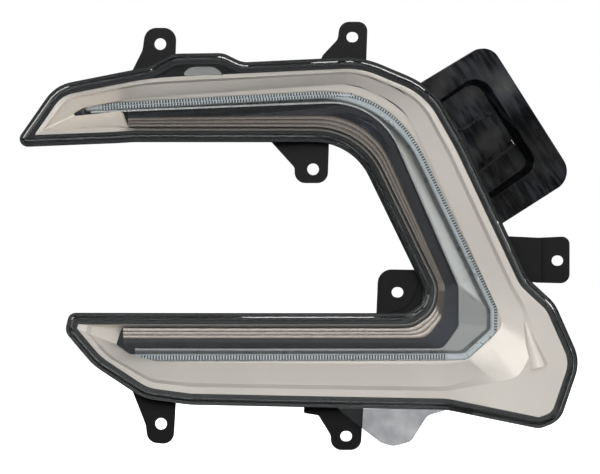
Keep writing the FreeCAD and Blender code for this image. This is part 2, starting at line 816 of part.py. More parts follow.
def bar_between(start, end, width, y_front, y_rear):
    along = direction(start, end)
    side = (-0.5 * width * along[1], 0.5 * width * along[0])
    points = [(start[0] + side[0], start[1] + side[1]), (end[0] + side[0], end[1] + side[1]),
              (end[0] - side[0], end[1] - side[1]), (start[0] - side[0], start[1] - side[1])]
    outline = [Vector(x, y_front, z) for x, z in points]
    face = Part.Face(Part.makePolygon(outline + outline[:1]))
    return face.extrude(Vector(0, y_rear - y_front, 0))


def side_panel():
    # Built flat, front at y = 0, then turned into its plane.
    outline = stretched(panel_corners)
    recess = stretched(panel_recess_corners)
    inner = inset(outline, panel_wall)
    solid = plate(outline, 0, panel_skirt).cut(plate(inner, panel_wall, panel_skirt + cut_margin))
    solid = solid.fuse(panel_dish(inset(recess, -panel_wall), panel_wall, panel_recess_depth + panel_wall))
    solid = solid.fuse(panel_trough(panel_groove_width + 2 * panel_wall, panel_groove_depth + panel_wall))
    trough = panel_trough(panel_groove_width, panel_groove_depth)
    solid = solid.cut([panel_dish(recess, 0, panel_recess_depth), trough])
    floor = panel_recess_depth
    root = floor + 0.5 * panel_wall
    top = floor - panel_bar_height
    solid = solid.fuse(flat_bar(panel_bar_start, panel_bar_end, panel_bar_width, top, root))
    solid.rotate(Vector(0, 0, 0), Vector(0, 0, 1), math.degrees(math.atan(panel_slope)))
    solid.translate(Vector(0, panel_y, 0))
    solid = solid.cut(plate(rim(pan_outer_inset - panel_wall_clearance), -far, far))
    holes = [cylinder_y(x, z, screw_radius + screw_hole_clearance, -far, far) for x, z in panel_boss_places]
    holes += [cylinder_y(x, z, panel_screw_head_radius + screw_hole_clearance, panel_screw_seat(x), far)
              for x, z in panel_boss_places]
    return solid.cut(holes)


def stretched(corners):
    # Outline as seen from the front, drawn out along the slope of the panel.
    return [(corner[0] * math.hypot(1, panel_slope), *corner[1:]) for corner in corners]


def panel_dish(corners, y_front, y_rear):
    # Recess with sloping walls, from the panel's front down to its floor.
    draft = panel_recess_draft * (y_rear - y_front) / panel_recess_depth
    wires = []
    for outline, y in ((corners, y_front), (inset(corners, draft), y_rear)):
        wire = outline_face(outline).OuterWire
        wire.translate(Vector(0, y, 0))
        wires.append(wire)
    return Part.makeLoft(wires, True, True)


def flat_bar(start, end, width, y_front, y_rear):
    ends = stretched([start, end])
    return bar_between(ends[0], ends[1], width, y_front, y_rear)


def panel_trough(width, depth):
    floor = panel_recess_depth
    return flat_bar(panel_groove_start, panel_groove_end, width, floor - panel_wall, floor + depth)


def panel_screw_seat(x):
    return at_panel(panel_wall)(x - panel_screw_head_radius - screw_hole_clearance)


def panel_boss(x, z):
    # A boss under the rim of the housing that takes a screw of the panel.
    boss = cylinder_y(x, z, panel_boss_radius, -far, at_panel(-panel_boss_gap)(x - panel_boss_radius))
    return boss.common(behind(groove_floor_depth + 0.5 * groove_floor_thickness))


def panel_pilot(x, z):
    return cylinder_y(x, z, screw_radius + pilot_clearance, at_panel(0)(x) - boss_pilot_depth, far)


def source_place(end):
    # The guide's end face: both ends look towards -x, and the light sources lie beyond them.
    return guide_line[0][:2] if end == "upper" else guide_line[-1][:2]


def source_box(end, near, beyond, height, span, depth_middle):
    x, z = source_place(end)
    y = at_depth(depth_middle)(x)
    low = (x - beyond, y - 0.5 * span, z - 0.5 * height)
    return box_between(low, (x - near, y + 0.5 * span, z + 0.5 * height))


def guide_middle_depth():
    return 0.5 * (guide_shoulder_depth() + guide_back_depth())


def board_middle_depth():
    return guide_front_depth() + 0.5 * board_depth_span


def led_package(end):
    return source_box(end, board_gap, board_gap + led_thickness, led_size, led_size, guide_middle_depth())


def led_board(end):
    near = board_gap + led_thickness
    return source_box(end, near, near + board_thickness, board_height, board_depth_span, board_middle_depth())


def sink_start():
    return board_gap + led_thickness + board_thickness


def heat_sink(end):
    near = sink_start()
    base = source_box(end, near, near + sink_base, board_height, board_depth_span, board_middle_depth())
    root = near + sink_base - root_overlap
    tip = root + sink_fin_length
    fin = source_box(end, root, tip, sink_fin_thickness, board_depth_span, board_middle_depth())
    travel = board_height - sink_fin_thickness
    fins = []
    for index in range(sink_fin_count):
        rise = travel * (index / (sink_fin_count - 1) - 0.5)
        fins.append(fin.translated(Vector(0, 0, rise)))
    return base.fuse(fins)


def floor_at(x):
    return at_back(-pan_wall)(x)


def sink_pedestal(end):
    # A pillar on the pan floor that carries the heat sink.
    x, z = source_place(end)
    high_x = x - sink_start()
    low_x = high_x - sink_base - sink_fin_length + root_overlap
    y_top = at_depth(board_middle_depth())(x) + 0.5 * board_depth_span
    y_root = floor_at(low_x) + 0.5 * pan_wall
    return box_between((low_x, y_top, z - 0.5 * board_height), (high_x, y_root, z + 0.5 * board_height))


def driver_plane():
    return at_back(-pan_wall)(driver_low[0]) - driver_standoff - driver_thickness


def driver_post_places():
    xs = (driver_low[0] + post_inset, driver_high[0] - post_inset)
    zs = (driver_low[1] + post_inset, driver_high[1] - post_inset)
    return [(x, z) for x in xs for z in zs]


def driver_post(x, z):
    top = driver_plane() + driver_thickness
    return cylinder_y(x, z, post_radius, top, floor_at(x) + 0.5 * pan_wall)


def driver_pilot(x, z):
    top = driver_plane() + driver_thickness
    return cylinder_y(x, z, screw_radius + pilot_clearance, top - cut_margin, top + board_screw_length)


def driver_board():
    front = driver_plane()
    back = front + driver_thickness
    board = box_between((driver_low[0], front, driver_low[1]), (driver_high[0], back, driver_high[1]))
    low, high = front - cut_margin, back + cut_margin
    holes = [cylinder_y(x, z, screw_radius + screw_hole_clearance, low, high) for x, z in driver_post_places()]
    half = pin_clearance
    holes += [box_between((x - half, low, z - half), (x + half, high, z + half)) for x, z in pin_places()]
    return board.cut(holes)


def driver_components():
    y = driver_plane()
    x = 0.5 * (driver_low[0] + driver_high[0])
    half, top = 0.5 * chip_width, y - chip_height
    solids = [cylinder_y(x, driver_high[1] - coil_drop, coil_radius, y - coil_height, y)]
    for row in range(chip_count):
        z = driver_low[1] + chip_rise + row * chip_pitch
        solids.append(box_between((x - half, top, z), (x + half, y, z + chip_length)))
    return Part.makeCompound(solids)


def pin_places():
    x, z = socket_centre
    columns = [(column - 0.5 * (pin_columns - 1)) * pin_pitch for column in range(pin_columns)]
    rows = [(row - 0.5 * (pin_rows - 1)) * pin_pitch for row in range(pin_rows)]
    return [(x + row, z + column) for row in rows for column in columns]


def socket_outline(grow):
    x, z = socket_centre
    half_width, half_height = 0.5 * socket_width + grow, 0.5 * socket_height + grow
    radius = socket_corner + grow
    return [(x - half_width, z - half_height, radius), (x - half_width, z + half_height, radius),
            (x + half_width, z + half_height, radius), (x + half_width, z - half_height, radius)]


def socket_floor_y():
    return at_back(0)(socket_centre[0] + 0.5 * socket_width + socket_wall)


def socket_shroud():
    y_floor = socket_floor_y()
    y_end = y_floor + socket_length
    x, z = socket_centre
    shroud = plate(socket_outline(socket_wall), floor_at(x) + root_share * pan_wall, y_end)
    low = (x - 0.5 * latch_width, y_floor + 0.5 * socket_length, z + 0.5 * socket_height + root_overlap)
    high = (x + 0.5 * latch_width, y_end - latch_end_gap, z + 0.5 * socket_height + socket_wall + latch_height)
    return shroud.fuse(box_between(low, high)).cut(plate(socket_outline(0), y_floor, y_end + cut_margin))


def pin_holes():
    # Holes in the pan for the terminals.
    y_floor = socket_floor_y()
    x, z = socket_centre
    half = 0.5 * pin_size
    low, high = floor_at(x) - 0.5 * driver_standoff, y_floor + cut_margin
    return Part.makeCompound([box_between((px - half, low, pz - half), (px + half, high, pz + half))
                              for px, pz in pin_places()])


def connector_pins():
    y_start = driver_plane() - pin_stub
    y_end = socket_floor_y() + pin_reach
    half = 0.5 * pin_size
    return Part.makeCompound([box_between((x - half, y_start, z - half), (x + half, y_end, z + half))
                              for x, z in pin_places()])


def spigot(x, z):
    y_back = at_back(0)(x)
    return cylinder_y(x, z, spigot_radius, y_back - root_share * pan_wall, y_back + spigot_height)


def breather_bore(x, z):
    y_back = at_back(0)(x)
    return cylinder_y(x, z, spigot_bore, y_back - 2 * pan_wall, y_back + spigot_height + cut_margin)


def breather_cap(x, z):
    y_back = at_back(0)(x)
    y_seat = at_back(cap_gap)(x + breather_radius)
    body = cylinder_y(x, z, breather_radius, y_seat, y_back + spigot_height + breather_wall)
    body = body.makeChamfer(cap_edge, [max(body.Edges, key=lambda edge: edge.CenterOfMass.y)])
    hollow = cylinder_y(x, z, spigot_radius, y_seat - cut_margin, y_back + spigot_height)
    low, high = y_seat - cut_margin, y_seat + cap_slot_height
    half, reach = 0.5 * cap_slot_width, breather_radius + cut_margin
    slots = [box_between((x - half, low, z - reach), (x + half, high, z + reach)),
             box_between((x - reach, low, z - half), (x + reach, high, z + half))]
    return body.cut([hollow] + slots)


def bezel_screws():
    seat = at_back(screw_seat_gap)
    return Part.makeCompound([screw(x, z, seat(x + screw_head_radius)) for x, z, depth in pillar_places])


def panel_screws():
    screws = []
    for x, z in panel_boss_places:
        seat = panel_screw_seat(x)
        shank = cylinder_y(x, z, screw_radius, at_panel(0)(x) - boss_pilot_depth + panel_screw_end_gap, seat)
        head = cylinder_y(x, z, panel_screw_head_radius, seat, seat + screw_head_height)
        recess = cylinder_y(x, z, screw_recess_radius, seat + screw_head_height - screw_recess_depth, far)
        screws.append(shank.fuse(head).cut(recess))
    return Part.makeCompound(screws)


def driver_screws():
    y = driver_plane()
    y_top = y - board_screw_head_height
    screws = []
    for x, z in driver_post_places():
        shank = cylinder_y(x, z, screw_radius, y, y + board_screw_length)
        head = cylinder_y(x, z, post_radius, y_top, y)
        y_recess = y_top + board_screw_recess_depth
        recess = cylinder_y(x, z, board_screw_recess_radius, y_top - cut_margin, y_recess)
        screws.append(shank.fuse(head).cut(recess))
    return Part.makeCompound(screws)


def pieces():
    result = {
        "housing": housing,
        "outer_lens": outer_lens,
        "lens_seal": lens_seal,
        "outer_bezel": outer_bezel,
        "inner_trim": inner_trim,
        "guide_holder": guide_holder,
        "light_guide": light_guide,
        "side_panel": side_panel,
        "driver_board": driver_board,
        "driver_components": driver_components,
        "connector_pins": connector_pins,
        "bezel_screws": bezel_screws,
        "driver_screws": driver_screws,
        "panel_screws": panel_screws,
    }
    for end in ("upper", "lower"):
        result[end + "_led"] = lambda end=end: led_package(end)
        result[end + "_led_board"] = lambda end=end: led_board(end)
        result[end + "_heat_sink"] = lambda end=end: heat_sink(end)
    for name, place in breather_places.items():
        result[name] = lambda place=place: breather_cap(*place)
    return result


def export_all():
    os.makedirs("parts", exist_ok=True)
    for name, make in pieces().items():
        shape = make()
        solids = shape.Solids
        shape = solids[0] if len(solids) == 1 else Part.makeCompound(solids)
        print(name, len(solids), shape.isValid(), round(shape.Volume))
        shape.exportStep("parts/" + name + ".step")


if __name__ == "__main__":
    export_all()
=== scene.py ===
import bmesh
import bpy
import math
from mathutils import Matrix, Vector
from mathutils.bvhtree import BVHTree


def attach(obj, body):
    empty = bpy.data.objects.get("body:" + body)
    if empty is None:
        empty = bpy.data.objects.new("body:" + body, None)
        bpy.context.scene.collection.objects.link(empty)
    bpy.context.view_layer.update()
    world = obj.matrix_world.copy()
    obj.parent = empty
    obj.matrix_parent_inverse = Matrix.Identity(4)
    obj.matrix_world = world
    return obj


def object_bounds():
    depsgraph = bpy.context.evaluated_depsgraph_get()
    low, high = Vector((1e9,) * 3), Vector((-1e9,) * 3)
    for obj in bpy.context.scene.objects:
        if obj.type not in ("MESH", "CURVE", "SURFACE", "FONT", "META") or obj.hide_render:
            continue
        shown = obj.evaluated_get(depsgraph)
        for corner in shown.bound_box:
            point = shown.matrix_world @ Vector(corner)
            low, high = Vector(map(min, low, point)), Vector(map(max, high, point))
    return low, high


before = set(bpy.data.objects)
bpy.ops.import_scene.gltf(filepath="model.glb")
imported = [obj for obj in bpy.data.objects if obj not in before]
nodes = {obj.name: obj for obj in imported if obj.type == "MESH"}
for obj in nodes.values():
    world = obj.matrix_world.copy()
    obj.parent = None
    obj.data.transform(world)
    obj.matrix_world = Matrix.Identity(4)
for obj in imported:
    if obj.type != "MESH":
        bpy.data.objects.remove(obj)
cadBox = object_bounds()
mm = 0.001


# sRGB hex to the linear colour that a shader takes
def toLinear(hexValue):
    channels = [int(hexValue[i:i + 2], 16) / 255 for i in (1, 3, 5)]
    return tuple(c / 12.92 if c <= 0.04045 else ((c + 0.055) / 1.055) ** 2.4 for c in channels) + (1.0,)


# the scale of a noise for a pattern whose size is given in mm
def perMetre(size):
    return 1.0 / (size * mm)


def addNode(tree, kind, inputs=None, **settings):
    node = tree.nodes.new(kind)
    for name, value in settings.items():
        setattr(node, name, value)
    for name, value in (inputs or {}).items():
        if isinstance(value, bpy.types.NodeSocket):
            tree.links.new(value, node.inputs[name])
        else:
            node.inputs[name].default_value = value
    return node


def addObject(name, data):
    item = bpy.data.objects.new(name, data)
    bpy.context.scene.collection.objects.link(item)
    return item


def newMaterial(name, baseHex, metallic=0.0, roughness=0.5, ior=1.5):
    material = bpy.data.materials.new(name)
    material.use_nodes = True
    shader = material.node_tree.nodes["Principled BSDF"]
    shader.inputs["Base Color"].default_value = toLinear(baseHex)
    shader.inputs["Metallic"].default_value = metallic
    shader.inputs["Roughness"].default_value = roughness
    shader.inputs["IOR"].default_value = ior
    coords = addNode(material.node_tree, "ShaderNodeTexCoord")
    return material, material.node_tree, shader, coords.outputs["Object"]


# one tone below a span of a pattern, the other above it, and a soft change between them
def toneBetween(tree, pattern, span, lowHex, highHex):
    ramp = addNode(tree, "ShaderNodeValToRGB", {"Fac": pattern})
    for element, position, hexValue in zip(ramp.color_ramp.elements, span, (lowHex, highHex)):
        element.position = position
        element.color = toLinear(hexValue)
    return ramp.outputs["Color"]


# one colour on the whole piece, another where a mask is 1
def paintWhere(tree, shader, mask, elsewhere, inside):
    colour = addNode(tree, "ShaderNodeMix", {0: mask, 6: elsewhere, 7: inside}, data_type="RGBA")
    tree.links.new(colour.outputs[2], shader.inputs["Base Color"])


# the gloss drifts with a pattern, from one roughness to the other over a span of it
def driftGloss(tree, shader, pattern, roughness, span=(0.0, 1.0)):
    rough = addNode(tree, "ShaderNodeMapRange", {"Value": pattern, "From Min": span[0], "From Max": span[1],
                                                 "To Min": roughness[0], "To Max": roughness[1]})
    tree.links.new(rough.outputs["Result"], shader.inputs["Roughness"])


# relief of a height in mm; edges are rounded by a radius in mm where one is given
def raiseRelief(tree, shader, pattern, strength, height, edge=None):
    bump = addNode(tree, "ShaderNodeBump", {"Strength": strength, "Distance": height * mm, "Height": pattern})
    if edge:
        rounded = addNode(tree, "ShaderNodeBevel", {"Radius": edge * mm}, samples=4)
        tree.links.new(rounded.outputs["Normal"], bump.inputs["Normal"])
    tree.links.new(bump.outputs["Normal"], shader.inputs["Normal"])


# a mask that is 1 in a box on the front: its left, right, bottom and top in mm
def insideBox(tree, coords, box):
    left, right, bottom, top = (side * mm for side in box)
    parts = addNode(tree, "ShaderNodeSeparateXYZ", {"Vector": coords})
    across = addNode(tree, "ShaderNodeMath", {0: parts.outputs["X"], 1: 0.5 * (left + right),
                                              2: 0.5 * (right - left)}, operation="COMPARE")
    upright = addNode(tree, "ShaderNodeMath", {0: parts.outputs["Z"], 1: 0.5 * (bottom + top),
                                               2: 0.5 * (top - bottom)}, operation="COMPARE")
    both = addNode(tree, "ShaderNodeMath", {0: across.outputs["Value"], 1: upright.outputs["Value"]},
                   operation="MULTIPLY")
    return both.outputs["Value"]


# the lens front lies on an upright cylinder; radius, x of its crown and y of its axis, in metres
lampBend = {"radius": 0.9, "crownX": -0.15, "axisY": 0.86741}


# depth behind the lens front, read by a material
def lampDepth(tree, coords):
    parts = addNode(tree, "ShaderNodeSeparateXYZ", {"Vector": coords})
    x = addNode(tree, "ShaderNodeMath", {0: parts.outputs["X"], 1: lampBend["crownX"]}, operation="SUBTRACT")
    square = addNode(tree, "ShaderNodeMath", {0: x.outputs["Value"], 1: 2.0}, operation="POWER")
    left = addNode(tree, "ShaderNodeMath", {0: lampBend["radius"] ** 2, 1: square.outputs["Value"]},
                   operation="SUBTRACT")
    root = addNode(tree, "ShaderNodeMath", {0: left.outputs["Value"]}, operation="SQRT")
    y = addNode(tree, "ShaderNodeMath", {0: parts.outputs["Y"], 1: root.outputs["Value"]}, operation="ADD")
    depth = addNode(tree, "ShaderNodeMath", {0: y.outputs["Value"], 1: lampBend["axisY"]},
                    operation="SUBTRACT")
    return depth.outputs["Value"]


# points of the front, in mm, laid on the bend at a depth in mm
def layOnFront(places, depth):
    points = []
    for place in places:
        x = place.x * mm
        front = lampBend["axisY"] - math.sqrt(lampBend["radius"] ** 2 - (x - lampBend["crownX"]) ** 2)
        points.append((x, front + depth * mm, place.y * mm))
    return points


# moulded black polypropylene: spark-eroded grain, drawn coarser than the real 0.1 mm so that it shows,
# and a little paler where the flow lines show; pattern sizes, relief heights and edges are in mm
housingLook = {"base": "#0a0a0b", "pale": "#121213", "paleSpan": (0.35, 0.75), "cloud": 45.5,
               "roughness": (0.34, 0.52), "gloss": 0.32, "grain": 0.455, "relief": 0.06, "reliefHeight": 0.05,
               "edge": 0.35}


def makeHousingPlastic():
    material, tree, shader, coords = newMaterial("grained black polypropylene", housingLook["base"])
    cloud = addNode(tree, "ShaderNodeTexNoise", {"Vector": coords, "Scale": perMetre(housingLook["cloud"]),
                                                 "Detail": 4})
    colour = toneBetween(tree, cloud.outputs["Fac"], housingLook["paleSpan"], housingLook["base"],
                         housingLook["pale"])
    tree.links.new(colour, shader.inputs["Base Color"])
    driftGloss(tree, shader, cloud.outputs["Fac"], housingLook["roughness"])
    shader.inputs["Specular IOR Level"].default_value = housingLook["gloss"]
    grain = addNode(tree, "ShaderNodeTexNoise", {"Vector": coords, "Scale": perMetre(housingLook["grain"]),
                                                 "Detail": 2})
    raiseRelief(tree, shader, grain.outputs["Fac"], housingLook["relief"], housingLook["reliefHeight"],
                housingLook["edge"])
    return material


# the flat side moulding: satin black nylon, a little sunken between its walls, with pale bluish patches that
# are partly rubbing and partly a painted sheen
# the scratches lean by an angle in degrees and are stretched along it
panelLook = {"base": "#0d0e10", "pale": "#2e323a", "paleSpan": (0.24, 0.42), "cloud": 29.4, "scratch": 3.33,
             "lean": 36, "squeeze": 0.1, "roughness": (0.14, 0.4), "roughSpan": (0.3, 0.7), "gloss": 0.45,
             "sink": 38.5, "sinkDepth": 4.0, "relief": 1.0, "edge": 0.5}


def makePanelPlastic():
    material, tree, shader, coords = newMaterial("satin black nylon", panelLook["base"])
    leaning = (0.0, math.radians(panelLook["lean"]), 0.0)
    lean = addNode(tree, "ShaderNodeMapping", {"Vector": coords, "Rotation": leaning})
    squeeze = addNode(tree, "ShaderNodeMapping", {"Vector": lean.outputs["Vector"],
                                                  "Scale": (1.0, 1.0, panelLook["squeeze"])})
    scratch = addNode(tree, "ShaderNodeTexNoise", {"Vector": squeeze.outputs["Vector"],
                                                   "Scale": perMetre(panelLook["scratch"]), "Detail": 3})
    cloud = addNode(tree, "ShaderNodeTexNoise", {"Vector": coords, "Scale": perMetre(panelLook["cloud"]),
                                                 "Detail": 4})
    # pale bluish patches where the cloud and the scratches meet: partly rubbing, partly a painted sheen
    rubbedAndPaintedSheen = addNode(tree, "ShaderNodeMath", {0: cloud.outputs["Fac"], 1: scratch.outputs["Fac"]},
                     operation="MULTIPLY")
    colour = toneBetween(tree, rubbedAndPaintedSheen.outputs["Value"], panelLook["paleSpan"], panelLook["base"],
                         panelLook["pale"])
    tree.links.new(colour, shader.inputs["Base Color"])
    driftGloss(tree, shader, scratch.outputs["Fac"], panelLook["roughness"], panelLook["roughSpan"])
    shader.inputs["Specular IOR Level"].default_value = panelLook["gloss"]
    sink = addNode(tree, "ShaderNodeTexNoise", {"Vector": coords, "Scale": perMetre(panelLook["sink"]),
                                                "Detail": 1})
    raiseRelief(tree, shader, sink.outputs["Fac"], panelLook["relief"], panelLook["sinkDepth"],
                panelLook["edge"])
    return material


# light from the lamps passes clear plastic and reaches what lies behind it
def letLightIn(tree, shader, tint):
    path = addNode(tree, "ShaderNodeLightPath")
    clear = addNode(tree, "ShaderNodeBsdfTransparent", {"Color": toLinear(tint)})
    mix = addNode(tree, "ShaderNodeMixShader", {0: path.outputs["Is Shadow Ray"], 1: shader.outputs["BSDF"],
                                                2: clear.outputs["BSDF"]})
    tree.links.new(mix.outputs["Shader"], tree.nodes["Material Output"].inputs["Surface"])


# injection-moulded clear polycarbonate with a hard coat: water-clear, the faintest haze in places
# the lower lug is painted grey: lugBox is its left, right, bottom and top in mm
lensLook = {"tint": "#f7fafb", "ior": 1.585, "clearness": 1.0, "haze": 16.7, "roughness": (0.0, 0.02),
            "lug": "#c2c4c6", "lugShade": "#9fa1a4", "lugSpan": (0.35, 0.65),
            "lugBox": (-300.0, 104.0, -300.0, -155.6)}


def makeLensPolycarbonate():
    material, tree, shader, coords = newMaterial("clear polycarbonate", lensLook["tint"], ior=lensLook["ior"])
    shader.inputs["Transmission Weight"].default_value = lensLook["clearness"]
    haze = addNode(tree, "ShaderNodeTexNoise", {"Vector": coords, "Scale": perMetre(lensLook["haze"]),
                                                "Detail": 2})
    driftGloss(tree, shader, haze.outputs["Fac"], lensLook["roughness"])
    # the lower lug is painted grey, with a random paler and darker drift
    tone = toneBetween(tree, haze.outputs["Fac"], lensLook["lugSpan"], lensLook["lugShade"], lensLook["lug"])
    paintWhere(tree, shader, insideBox(tree, coords, lensLook["lugBox"]), toLinear(lensLook["tint"]), tone)
    letLightIn(tree, shader, lensLook["tint"])
    return material


# moulded acrylic light guide: the unlit rod looks clear, faintly cool and a little hazy
guideLook = {"tint": "#eceff1", "ior": 1.49, "clearness": 0.5, "haze": 8.33, "roughness": (0.22, 0.36)}


def makeGuideAcrylic():
    material, tree, shader, coords = newMaterial("clear acrylic", guideLook["tint"], ior=guideLook["ior"])
    shader.inputs["Transmission Weight"].default_value = guideLook["clearness"]
    haze = addNode(tree, "ShaderNodeTexNoise", {"Vector": coords, "Scale": perMetre(guideLook["haze"]),
                                                "Detail": 2})
    driftGloss(tree, shader, haze.outputs["Fac"], guideLook["roughness"])
    letLightIn(tree, shader, guideLook["tint"])
    return material


# satin silver lacquer on moulded plastic: flakes reflect, the binder scatters, with a faint orange peel
# the locating lug is painted a plain darker grey: lugBox is its left, right, bottom and top in mm
bezelLook = {"base": "#f3e7dc", "shade": "#e9ddd2", "shadeSpan": (0.3, 0.8), "metallic": 0.6, "cloud": 71.4,
             "roughness": (0.36, 0.44), "peel": 2.38, "relief": 0.05, "reliefHeight": 0.05,
             "lug": "#8d8b88", "lugBox": (-84.7, -58.3, 60.6, 300.0)}


def makeBezelSilver():
    material, tree, shader, coords = newMaterial("satin silver lacquer", bezelLook["base"],
                                                 metallic=bezelLook["metallic"])
    cloud = addNode(tree, "ShaderNodeTexNoise", {"Vector": coords, "Scale": perMetre(bezelLook["cloud"]),
                                                 "Detail": 3})
    silver = toneBetween(tree, cloud.outputs["Fac"], bezelLook["shadeSpan"], bezelLook["base"],
                         bezelLook["shade"])
    # the locating lug is painted a plain darker grey
    paintWhere(tree, shader, insideBox(tree, coords, bezelLook["lugBox"]), silver, toLinear(bezelLook["lug"]))
    driftGloss(tree, shader, cloud.outputs["Fac"], bezelLook["roughness"])
    peel = addNode(tree, "ShaderNodeTexNoise", {"Vector": coords, "Scale": perMetre(bezelLook["peel"]),
                                                "Detail": 2})
    raiseRelief(tree, shader, peel.outputs["Fac"], bezelLook["relief"], bezelLook["reliefHeight"])
    return material


# chrome, mirror-smooth, painted nearly black and faintly blue as a painted dark reflection, with browner
# strips at its shallow edge painted as reflections, brighter at each step as a painted glint
trimLook = {"base": "#3a3d45", "shade": "#2f3138", "shadeSpan": (0.3, 0.8), "cloud": 50.0, "roughness": 0.07,
            "strip": "#4c443f", "stripPaintedGlint": "#978c84", "stripSpan": (0.6, 0.9), "stripDepth": 12.7,
            "stripPitch": 1.0, "relief": 0.03, "reliefHeight": 0.1}


def makeChromePaintedDark():
    material, tree, shader, coords = newMaterial("chrome painted dark", trimLook["base"], metallic=1.0,
                                                 roughness=trimLook["roughness"])
    cloud = addNode(tree, "ShaderNodeTexNoise", {"Vector": coords, "Scale": perMetre(trimLook["cloud"]),
                                                 "Detail": 2})
    # painted dark reflection: the chrome's colour is set nearly black, with a random faint drift
    paintedDarkReflection = toneBetween(tree, cloud.outputs["Fac"], trimLook["shadeSpan"], trimLook["base"],
                        trimLook["shade"])
    # strips at the shallow edge: brown painted reflections, each step brighter toward one side as a painted
    # glint
    depth = lampDepth(tree, coords)
    shallow = addNode(tree, "ShaderNodeMath", {0: depth, 1: trimLook["stripDepth"] * mm},
                      operation="LESS_THAN")
    pitches = addNode(tree, "ShaderNodeMath", {0: depth, 1: trimLook["stripPitch"] * mm}, operation="DIVIDE")
    turn = addNode(tree, "ShaderNodeMath", {0: pitches.outputs["Value"]}, operation="FRACT")
    paintedStripReflections = toneBetween(tree, turn.outputs["Value"], trimLook["stripSpan"], trimLook["strip"],
                         trimLook["stripPaintedGlint"])
    paintWhere(tree, shader, shallow.outputs["Value"], paintedDarkReflection, paintedStripReflections)
    raiseRelief(tree, shader, cloud.outputs["Fac"], trimLook["relief"], trimLook["reliefHeight"])
    return material


# metallised plastic of the tray under the guide: a bright, soft mirror
holderLook = {"base": "#b4b3b0", "cloud": 11.1, "roughness": (0.16, 0.3)}


def makeHolderSilver():
    material, tree, shader, coords = newMaterial("bright metallised plastic", holderLook["base"],
                                                 metallic=1.0)
    cloud = addNode(tree, "ShaderNodeTexNoise", {"Vector": coords, "Scale": perMetre(holderLook["cloud"]),
                                                 "Detail": 3})
    driftGloss(tree, shader, cloud.outputs["Fac"], holderLook["roughness"])
    return material


# plain finishes of the small and the hidden pieces: two tones, metallic, roughness, pattern size in mm
plainLooks = {
    "polyurethane sealant": ("#0c0c0d", "#161617", 0.0, 0.75, 3.33),  # dull black bead
    "green solder resist": ("#0f4a26", "#0b3a1d", 0.0, 0.35, 3.85),  # glossy green lacquer
    "black solder resist": ("#0c0d0e", "#151617", 0.0, 0.35, 3.85),  # glossy black lacquer
    "moulded epoxy": ("#141416", "#1e1e20", 0.0, 0.45, 2.0),  # satin black bodies
    "tin-plated brass": ("#c9b27a", "#b39b63", 1.0, 0.25, 2.5),  # yellowish metal shine
    "zinc-plated steel": ("#b4b7bb", "#94979c", 1.0, 0.34, 2.86),  # cool grey metal
    "yellow phosphor resin": ("#e6cf5e", "#d7bd45", 0.0, 0.4, 1.67),  # flat yellow
    "black anodised aluminium": ("#1a1b1d", "#242527", 1.0, 0.4, 3.33),  # soft dark sheen
    "moulded rubber": ("#151515", "#202020", 0.0, 0.68, 1.43),  # matt black, hardly a highlight
}
plainSurface = {"toneSpan": (0.35, 0.7), "drift": 0.08, "relief": 0.08, "reliefHeight": 0.05}


def makePlain(name):
    base, shade, metallic, roughness, size = plainLooks[name]
    material, tree, shader, coords = newMaterial(name, base, metallic=metallic)
    noise = addNode(tree, "ShaderNodeTexNoise", {"Vector": coords, "Scale": perMetre(size), "Detail": 3})
    colour = toneBetween(tree, noise.outputs["Fac"], plainSurface["toneSpan"], base, shade)
    tree.links.new(colour, shader.inputs["Base Color"])
    drift = plainSurface["drift"]
    driftGloss(tree, shader, noise.outputs["Fac"], (roughness - drift, roughness + drift))
    raiseRelief(tree, shader, noise.outputs["Fac"], plainSurface["relief"], plainSurface["reliefHeight"])
    return material


def dress(material, *names):
    for name in names:
        mesh = nodes[name].data
        for index in range(len(mesh.materials)):
            mesh.materials[index] = material


dress(makeHousingPlastic(), "housing")
dress(makePanelPlastic(), "side_panel")
dress(makeLensPolycarbonate(), "outer_lens")
dress(makeGuideAcrylic(), "light_guide")
dress(makeBezelSilver(), "outer_bezel")
dress(makeChromePaintedDark(), "inner_trim")
dress(makeHolderSilver(), "guide_holder")
dress(makePlain("polyurethane sealant"), "lens_seal")
dress(makePlain("green solder resist"), "driver_board")
dress(makePlain("black solder resist"), "upper_led_board", "lower_led_board")
dress(makePlain("moulded epoxy"), "driver_components")
dress(makePlain("tin-plated brass"), "connector_pins")
dress(makePlain("zinc-plated steel"), "bezel_screws", "driver_screws", "panel_screws")
dress(makePlain("yellow phosphor resin"), "upper_led", "lower_led")
dress(makePlain("black anodised aluminium"), "upper_heat_sink", "lower_heat_sink")
dress(makePlain("moulded rubber"), "upper_breather_cap", "lower_breather_cap")
print("CAD nodes dressed")


# the guide's centre line: x, z and bend radius of each corner from the upper tip to the lower tip, in mm,
# points on a bend, spacing of the points between bends, and depth of its face behind the lens front
guidePath = {"corners": ((-147.0, 39.7, 0), (49.0, 51.0, 73), (118.0, -91.0, 10), (118.0, -105.5, 6),
                         (99.5, -122.3, 8), (-118.5, -122.3, 0)),
             "arcSteps": 12, "stride": 4.0, "faceDepth": 19.25}


def cornerTangent(corners, radii, index):
    before = (corners[index] - corners[index - 1]).normalized()
    after = (corners[index + 1] - corners[index]).normalized()
    return radii[index] * math.tan(0.5 * before.angle(after))


def arcBetween(start, alongStart, end, alongEnd):
    points = []
    corner = 0.5 * (end - start).length / math.cos(0.5 * alongStart.angle(alongEnd))
    bendPoint = start + alongStart * corner
    for step in range(1, guidePath["arcSteps"]):
        share = step / guidePath["arcSteps"]
        points.append(start * (1 - share) ** 2 + bendPoint * 2 * share * (1 - share) + end * share ** 2)
    return points


